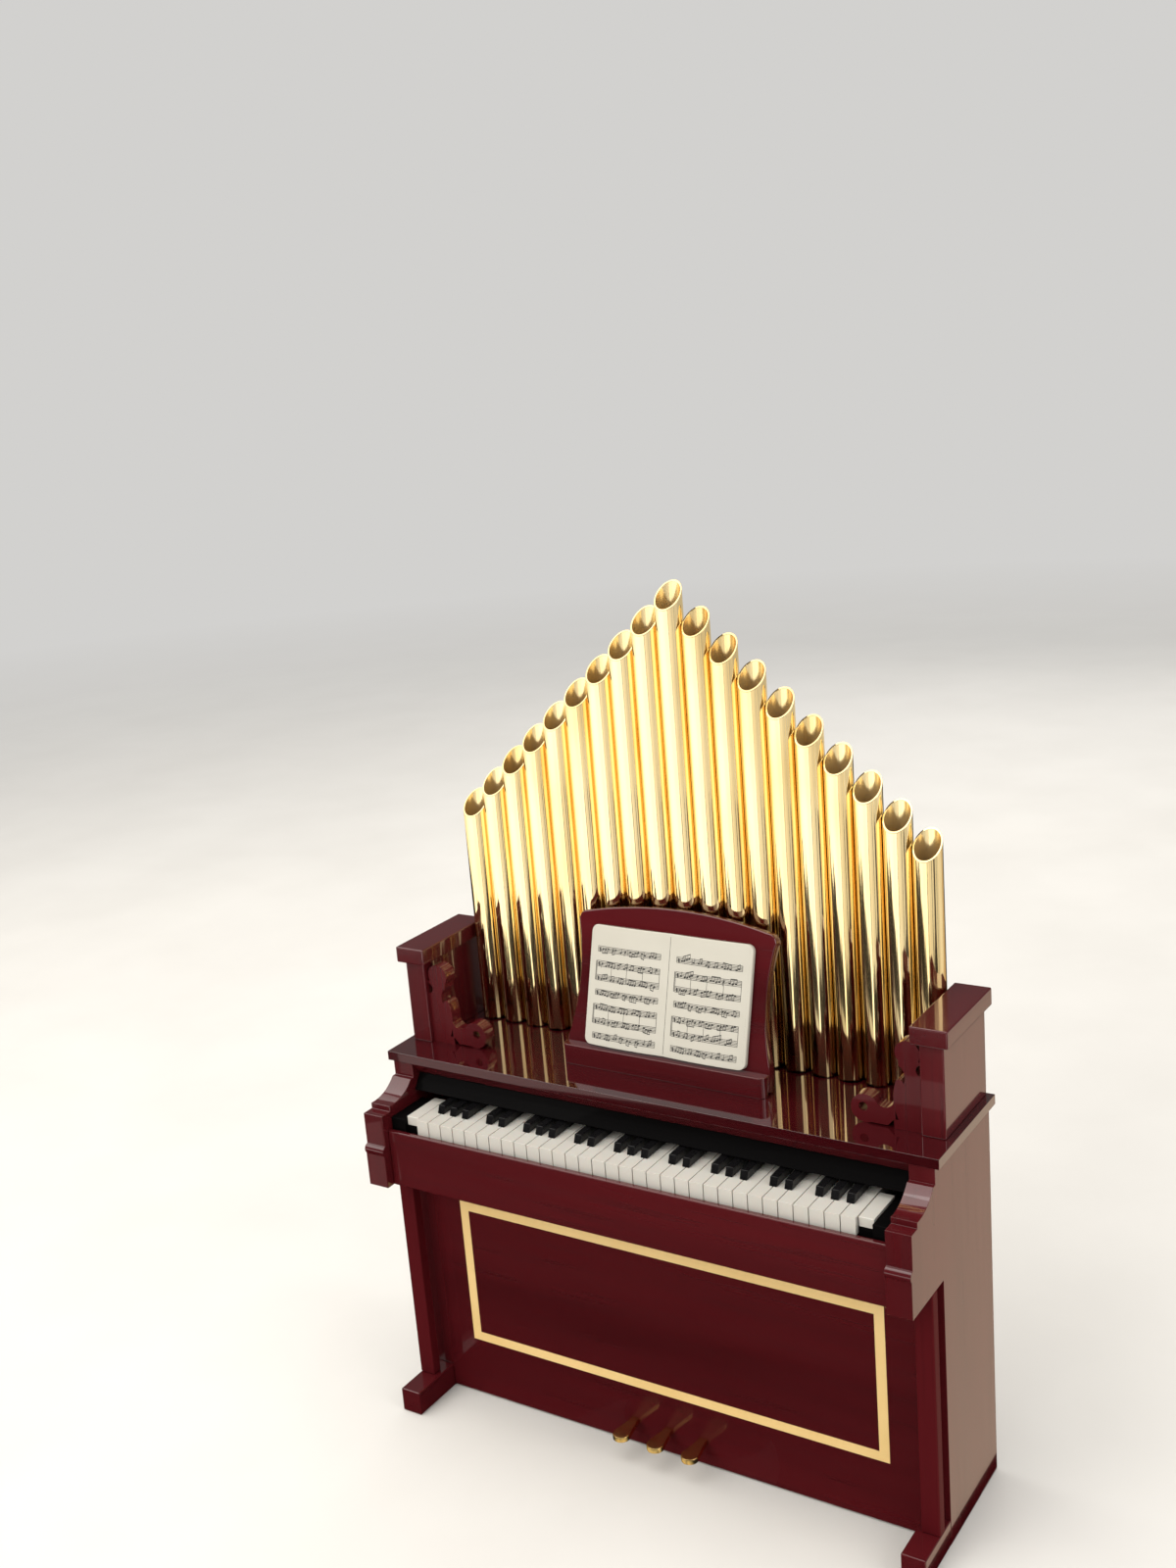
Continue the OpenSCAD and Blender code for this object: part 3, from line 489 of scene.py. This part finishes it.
def draw_notes(mid, left, right):
    """A clef, then groups of one to four notes; a beam joins the notes of a group."""
    note_ink.dot(left + 1.1, mid - 0.2, 0.42, 0.95, 0.2)
    x = left + FIRST_NOTE
    while x < right - LAST_GROUP:
        count = rng.choice((1, 2, 2, 3, 4))
        step = rng.uniform(0.95, 1.35)
        level = rng.randint(-3, 2)
        way = 1 if level < 0 else -1
        tips = []
        for _ in range(count):
            if x > right - LAST_NOTE:
                break
            z = mid + level * GAP / 2
            note_ink.dot(x, z, *HEAD)
            stem_x, tip = x + way * STEM_OUT, z + way * STEM
            note_ink.bar(stem_x, z, stem_x, tip, STEM_LINE)
            tips.append((stem_x, tip))
            level = max(-HIGHEST, min(HIGHEST, level + rng.choice((-2, -1, -1, 0, 1, 1, 2))))
            x += step
        if len(tips) > 1:
            (xa, za), (xb, zb) = tips[0], tips[-1]
            note_ink.bar(xa - BEAM_PAST, za, xb + BEAM_PAST, zb, BEAM_LINE)
        x += rng.uniform(0.5, 1.5)


for page_left, page_right in PAGES:
    for staff_row, staff_mid in enumerate(STAVES):
        draw_staff(staff_row, staff_mid, page_left, page_right)
        draw_notes(staff_mid, page_left, page_right)
note_ink.bar(FOLD_X, FOLD_Z[0], FOLD_X, FOLD_Z[1], FOLD_LINE)
staves = mesh_piece("music_staves", staff_ink.verts, staff_ink.faces, ink, "cabinet")
notes = mesh_piece("music_notes", note_ink.verts, note_ink.faces, ink, "cabinet")
# The book isn't mirrored in the shelf
for piece in (nodes["songbook"], staves, notes):
    piece.visible_glossy = False


# Contact pin inside the inlet jack
TURNED_SIDES = 24
PIN = [(1.0, -9.2), (1.0, -2.0), (0.93, -1.5), (0.7, -1.1), (0.35, -0.9), (0.1, -0.85)]


def lathe(name, profile, origin, material, body):
    """A turned piece about an axis along +Y through origin; the profile is (radius, y) in millimetres."""
    verts, faces = [], []
    for r, y in profile:
        for i in range(TURNED_SIDES):
            a = i * math.tau / TURNED_SIDES
            verts.append((origin[0] + r * MM * math.cos(a), origin[1] + y * MM,
                          origin[2] + r * MM * math.sin(a)))
    last = (len(profile) - 1) * TURNED_SIDES
    for ring in range(0, last, TURNED_SIDES):
        for i in range(TURNED_SIDES):
            k = (i + 1) % TURNED_SIDES
            faces.append([ring + i, ring + k, ring + TURNED_SIDES + k, ring + TURNED_SIDES + i])
    faces.append(list(range(TURNED_SIDES - 1, -1, -1)))
    faces.append([last + i for i in range(TURNED_SIDES)])
    obj = mesh_piece(name, verts, faces, material, body)
    for polygon in obj.data.polygons:
        polygon.use_smooth = len(polygon.vertices) == 4


jack_low, jack_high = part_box("inlet_jack")
jack_axis = ((jack_low.x + jack_high.x) / 2, jack_high.y, (jack_low.z + jack_high.z) / 2)
lathe("inlet_pin", PIN, jack_axis, steel, "cabinet")


# Floor, which fades out at a distance
REACH = 3.0
FADE = (0.9, 2.6)


def stage_mesh(name, verts, faces, material):
    """A mesh of the stage, which isn't part of the object."""
    obj = new_mesh(name, verts, faces, material)
    return obj


def floor_material():
    m = Maker("pale_floor", (0.70, 0.68, 0.645), 0.8, Specular_IOR_Level=0.0)
    mottle = m.noise(m.coord, 9.0, 4.0)
    m.color(m.ramp(mottle, [(0.3, (0.68, 0.66, 0.625)), (0.7, (0.72, 0.70, 0.665))]))
    clear = m.add("ShaderNodeBsdfTransparent")
    mix = m.add("ShaderNodeMixShader")
    m.link(m.span(m.length(m.coord), 0.0, 1.0, *FADE), mix.inputs[0])
    m.link(m.bsdf.outputs[0], mix.inputs[1])
    m.link(clear.outputs[0], mix.inputs[2])
    m.link(mix.outputs[0], m.out.inputs[0])
    return m.mat


stage_mesh("floor", [(-REACH, -REACH, 0), (REACH, -REACH, 0), (REACH, REACH, 0), (-REACH, REACH, 0)],
           [[0, 1, 2, 3]], floor_material())


# Cards around the object, seen only in its polish, in metres
WARM = (1.0, 0.97, 0.92)
CARD_ROUGH = 0.9
LOW_Z = 0.0006
PIPE_Z = 0.0009
CARD_Z = 0.0012
BRIGHT_Z = 0.0014
WEDGE_STEP = 6


def glow(name, level, tint=WARM):
    """An evenly glowing material."""
    m = Maker(name, tint, CARD_ROUGH)
    m.emit(tint, level)
    return m.mat


def card(name, verts, faces, look, receivers=None):
    """A card that shows only in the polish of everything, or of its receivers."""
    obj = stage_mesh(name, verts, faces, look)
    for ray in ("camera", "diffuse", "shadow", "transmission", "volume_scatter"):
        setattr(obj, "visible_" + ray, False)
    if receivers is not None:
        obj.light_linking.receiver_collection = receivers
    return obj


def flat_card(name, corners, look, receivers=None):
    """A card with one flat face."""
    return card(name, corners, [list(range(len(corners)))], look, receivers)


def floor_point(turn, r, z):
    """A point on the floor, turned from straight ahead of the object towards its right, in degrees."""
    return (r * math.sin(math.radians(turn)), -r * math.cos(math.radians(turn)), z)


def wedge(name, start, end, near, far, z, look, receivers=None):
    """A card on the floor between two turns; near is its reach inwards at both ends."""
    steps = max(1, int((end - start) / WEDGE_STEP))
    verts = []
    for i in range(steps + 1):
        t = i / steps
        turn = start + (end - start) * t
        verts.append(floor_point(turn, near[0] + (near[1] - near[0]) * t, z))
        verts.append(floor_point(turn, far, z))
    faces = [[2 * i, 2 * i + 1, 2 * i + 3, 2 * i + 2] for i in range(steps)]
    card(name, verts, faces, look, receivers)


def soft_disc(name, place, r, level, tint, receivers):
    """A small glowing disc on the floor that fades to nothing at its edge and lights only its receivers."""
    m = Maker(name, tint, CARD_ROUGH)
    m.emit(tint, m.span(m.length(m.coord), level, 0.0, 0.3 * r, r))
    disc = flat_card(name, [floor_point(turn, r, 0.0) for turn in range(0, 360, 15)], m.mat, receivers)
    disc.location = place


def half_dome(name, r, way, look, rows=6, parts=16):
    """Half of a dome over the floor, before the object (way -1) or behind it (way 1)."""
    verts = []
    for j in range(rows + 1):
        rise = j * math.pi / 2 / rows
        for i in range(parts + 1):
            turn = i * math.pi / parts
            verts.append((r * math.cos(rise) * math.cos(turn), r * math.cos(rise) * math.sin(turn) * way,
                          r * math.sin(rise)))
    n = parts + 1
    faces = [[j * n + i, j * n + i + 1, (j + 1) * n + i + 1, (j + 1) * n + i]
             for j in range(rows) for i in range(parts)]
    card(name, verts, faces, look)


DOME_R = 2.9
half_dome("front_dome", DOME_R, -1, glow("front_dome", 0.035))
half_dome("back_dome", DOME_R, 1, glow("back_dome", 0.115))
dark = Maker("dark_card", (0.010, 0.006, 0.006), CARD_ROUGH).mat
wedge("dark_card", -130, 100, (0.0, 0.0), 1.0, LOW_Z, dark)

# Cards on the floor: name, height, level, tint and corners
FLOOR_CARDS = [
    ("rear_card", LOW_Z, 0.06, WARM, [(-0.5, 0.05), (0.3, 0.05), (0.3, 1.2), (-0.5, 1.2)]),
    ("side_card", CARD_Z, 0.67, (1.0, 0.77, 0.57),
     [(0.126, -0.10), (0.34, -0.10), (0.72, 0.80), (0.40, 0.80), (0.19, 0.33), (0.126, 0.06)]),
    ("edge_card", CARD_Z, 0.3, (1.0, 0.80, 0.74),
     [(-0.3496, -0.2789), (-0.3756, -0.3092), (-0.0128, -0.3766), (0.0015, -0.3392)]),
    ("arm_card", CARD_Z, 0.45, (1.0, 0.62, 0.58),
     [(-0.2678, -0.1951), (-0.2582, -0.2039), (-0.3192, -0.2704), (-0.3288, -0.2616)]),
]
for card_name, card_z, card_level, card_tint, card_corners in FLOOR_CARDS:
    flat_card(card_name, [(x, y, card_z) for x, y in card_corners], glow(card_name, card_level, card_tint))

# Glow that only the pedals or only the pipes receive
TOE_IN = 0.0037
TOE_AHEAD = 0.008
TOE_R = 0.018
TOE_LEVEL = 0.85
TOE_TINT = (1.0, 0.88, 0.64)
pedal_low, pedal_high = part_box("pedals")
pedal_step = (pedal_high.x - pedal_low.x - 2 * TOE_IN) / 2
toes = bpy.data.collections.new("toes")
toes.objects.link(nodes["pedals"])
pipes = bpy.data.collections.new("pipes")
pipes.objects.link(nodes["organ_pipes"])
wedge("pipe_card", -180, 180, (0.05, 0.05), 0.41, PIPE_Z, glow("pipe_card", 0.9), pipes)
for index in range(3):
    toe = (pedal_low.x + TOE_IN + index * pedal_step, pedal_low.y - TOE_AHEAD, CARD_Z)
    soft_disc("toe_glow_%d" % (index + 1), toe, TOE_R, TOE_LEVEL, TOE_TINT, toes)

# Cards in the air: name, turns and rises in degrees from a point on the shelf
AIR_CARDS = [("left_card", (-128, -92), (24, 42)), ("right_card", (40, 72), (22, 42))]
AIR_R = 1.3
AIR_Z = 0.165
AIR_LEVEL = 1.1


def air_point(turn, rise):
    """A point at the distance of the cards in the air."""
    rise = math.radians(rise)
    return floor_point(turn, AIR_R * math.cos(rise), AIR_Z + AIR_R * math.sin(rise))


for card_name, (start, end), (low, high) in AIR_CARDS:
    corners = [air_point(start, low), air_point(end, low), air_point(end, high), air_point(start, high)]
    flat_card(card_name, corners, glow(card_name, AIR_LEVEL))

# Bright cards: start and end in degrees, inward reach at both, level; each goes on upright for the pipes
BRIGHT = [
    (-118, -84, 1.00, 0.80, 1.3), (-84, -66, 0.74, 0.66, 1.8), (-66, -56, 0.70, 0.64, 2.1),
    (-56, -46, 0.74, 0.72, 2.2), (-46, -36, 0.70, 0.68, 2.2), (-36, -26, 0.62, 0.60, 2.2),
    (-26, -14, 0.60, 0.56, 2.1), (-14, -2, 0.52, 0.58, 1.9), (-2, 7, 0.54, 0.50, 1.8),
    (7, 18, 0.30, 0.34, 2.0), (21, 36, 0.50, 0.58, 1.1), (36, 50, 0.52, 0.60, 0.95),
    (53, 66, 0.60, 0.72, 0.9), (74, 86, 0.70, 0.56, 0.8), (88, 100, 0.50, 0.56, 0.8),
]
BRIGHT_FAR = 2.7
UPRIGHT_R = 2.75
UPRIGHT_Z = (0.002, 2.0)
for index, (start, end, near, beyond, level) in enumerate(BRIGHT):
    card_name = "bright_card_%d" % (index + 1)
    wedge(card_name, start, end, (near, beyond), BRIGHT_FAR, BRIGHT_Z, glow(card_name, level))
    card_name = "upright_card_%d" % (index + 1)
    foot_z, top_z = UPRIGHT_Z
    corners = [floor_point(start, UPRIGHT_R, foot_z), floor_point(end, UPRIGHT_R, foot_z),
               floor_point(end, UPRIGHT_R, top_z), floor_point(start, UPRIGHT_R, top_z)]
    flat_card(card_name, corners, glow(card_name, level / 2), pipes)


# Light

world = bpy.data.worlds.new("studio")
bpy.context.scene.world = world
world.use_nodes = True
sky = world.node_tree.nodes["Background"]
sky.inputs["Color"].default_value = (0.86, 0.85, 0.83, 1)
sky.inputs["Strength"].default_value = 0.75


def softbox(name, place, aim, size, power, color):
    """A rectangular area light that points at aim."""
    data = bpy.data.lights.new(name, "AREA")
    data.shape = "RECTANGLE"
    data.size, data.size_y = size
    data.energy = power
    data.color = color
    obj = bpy.data.objects.new(name, data)
    bpy.context.scene.collection.objects.link(obj)
    obj.location = place
    obj.rotation_mode = "QUATERNION"
    obj.rotation_quaternion = (Vector(aim) - Vector(place)).to_track_quat("-Z", "Y")
    return obj


softbox("key", (-0.80, -0.32, 1.35), (0, 0, 0.2), (1.4, 1.4), 13, WARM)
fill = softbox("fill", (-0.35, -1.35, 0.95), (0, 0, 0.15), (1.0, 1.0), 11, (1.0, 0.97, 0.93))
softbox("side", (1.25, -0.15, 0.75), (0, 0, 0.15), (0.8, 1.0), 7, (1.0, 0.98, 0.96))
rear = softbox("rear", (-0.25, 1.35, 0.85), (0, 0, 0.12), (1.0, 1.0), 5, (1.0, 0.98, 0.95))
softbox("top", (0.15, -0.2, 1.5), (0, 0, 0.2), (1.0, 0.8), 4.5, (1.0, 0.99, 0.97))
for light in (fill, rear):
    light.visible_glossy = False


# Camera, as the picture was taken

AZIMUTH = math.radians(33.627)
ELEVATION = math.radians(14.582)
ROLL = math.radians(-4.737)
PLACE = Vector((0.33445, -0.53497, 0.45412))
FOCAL_PX = 1742.1
IMAGE_HEIGHT_PX = 1600.0

cam_data = bpy.data.cameras.new("camera")
cam = bpy.data.objects.new("camera", cam_data)
bpy.context.scene.collection.objects.link(cam)
back = Vector((math.sin(AZIMUTH) * math.cos(ELEVATION), -math.cos(AZIMUTH) * math.cos(ELEVATION),
               math.sin(ELEVATION)))
cam.location = PLACE
cam.rotation_mode = "QUATERNION"
cam.rotation_quaternion = (-back).to_track_quat("-Z", "Y") @ Quaternion((0, 0, 1), ROLL)
cam_data.sensor_width = 36.0
cam_data.lens = FOCAL_PX * cam_data.sensor_width / IMAGE_HEIGHT_PX
cam_data.clip_start, cam_data.clip_end = 0.02, 30
bpy.context.scene.camera = cam
bpy.context.scene.view_settings.view_transform = "Standard"
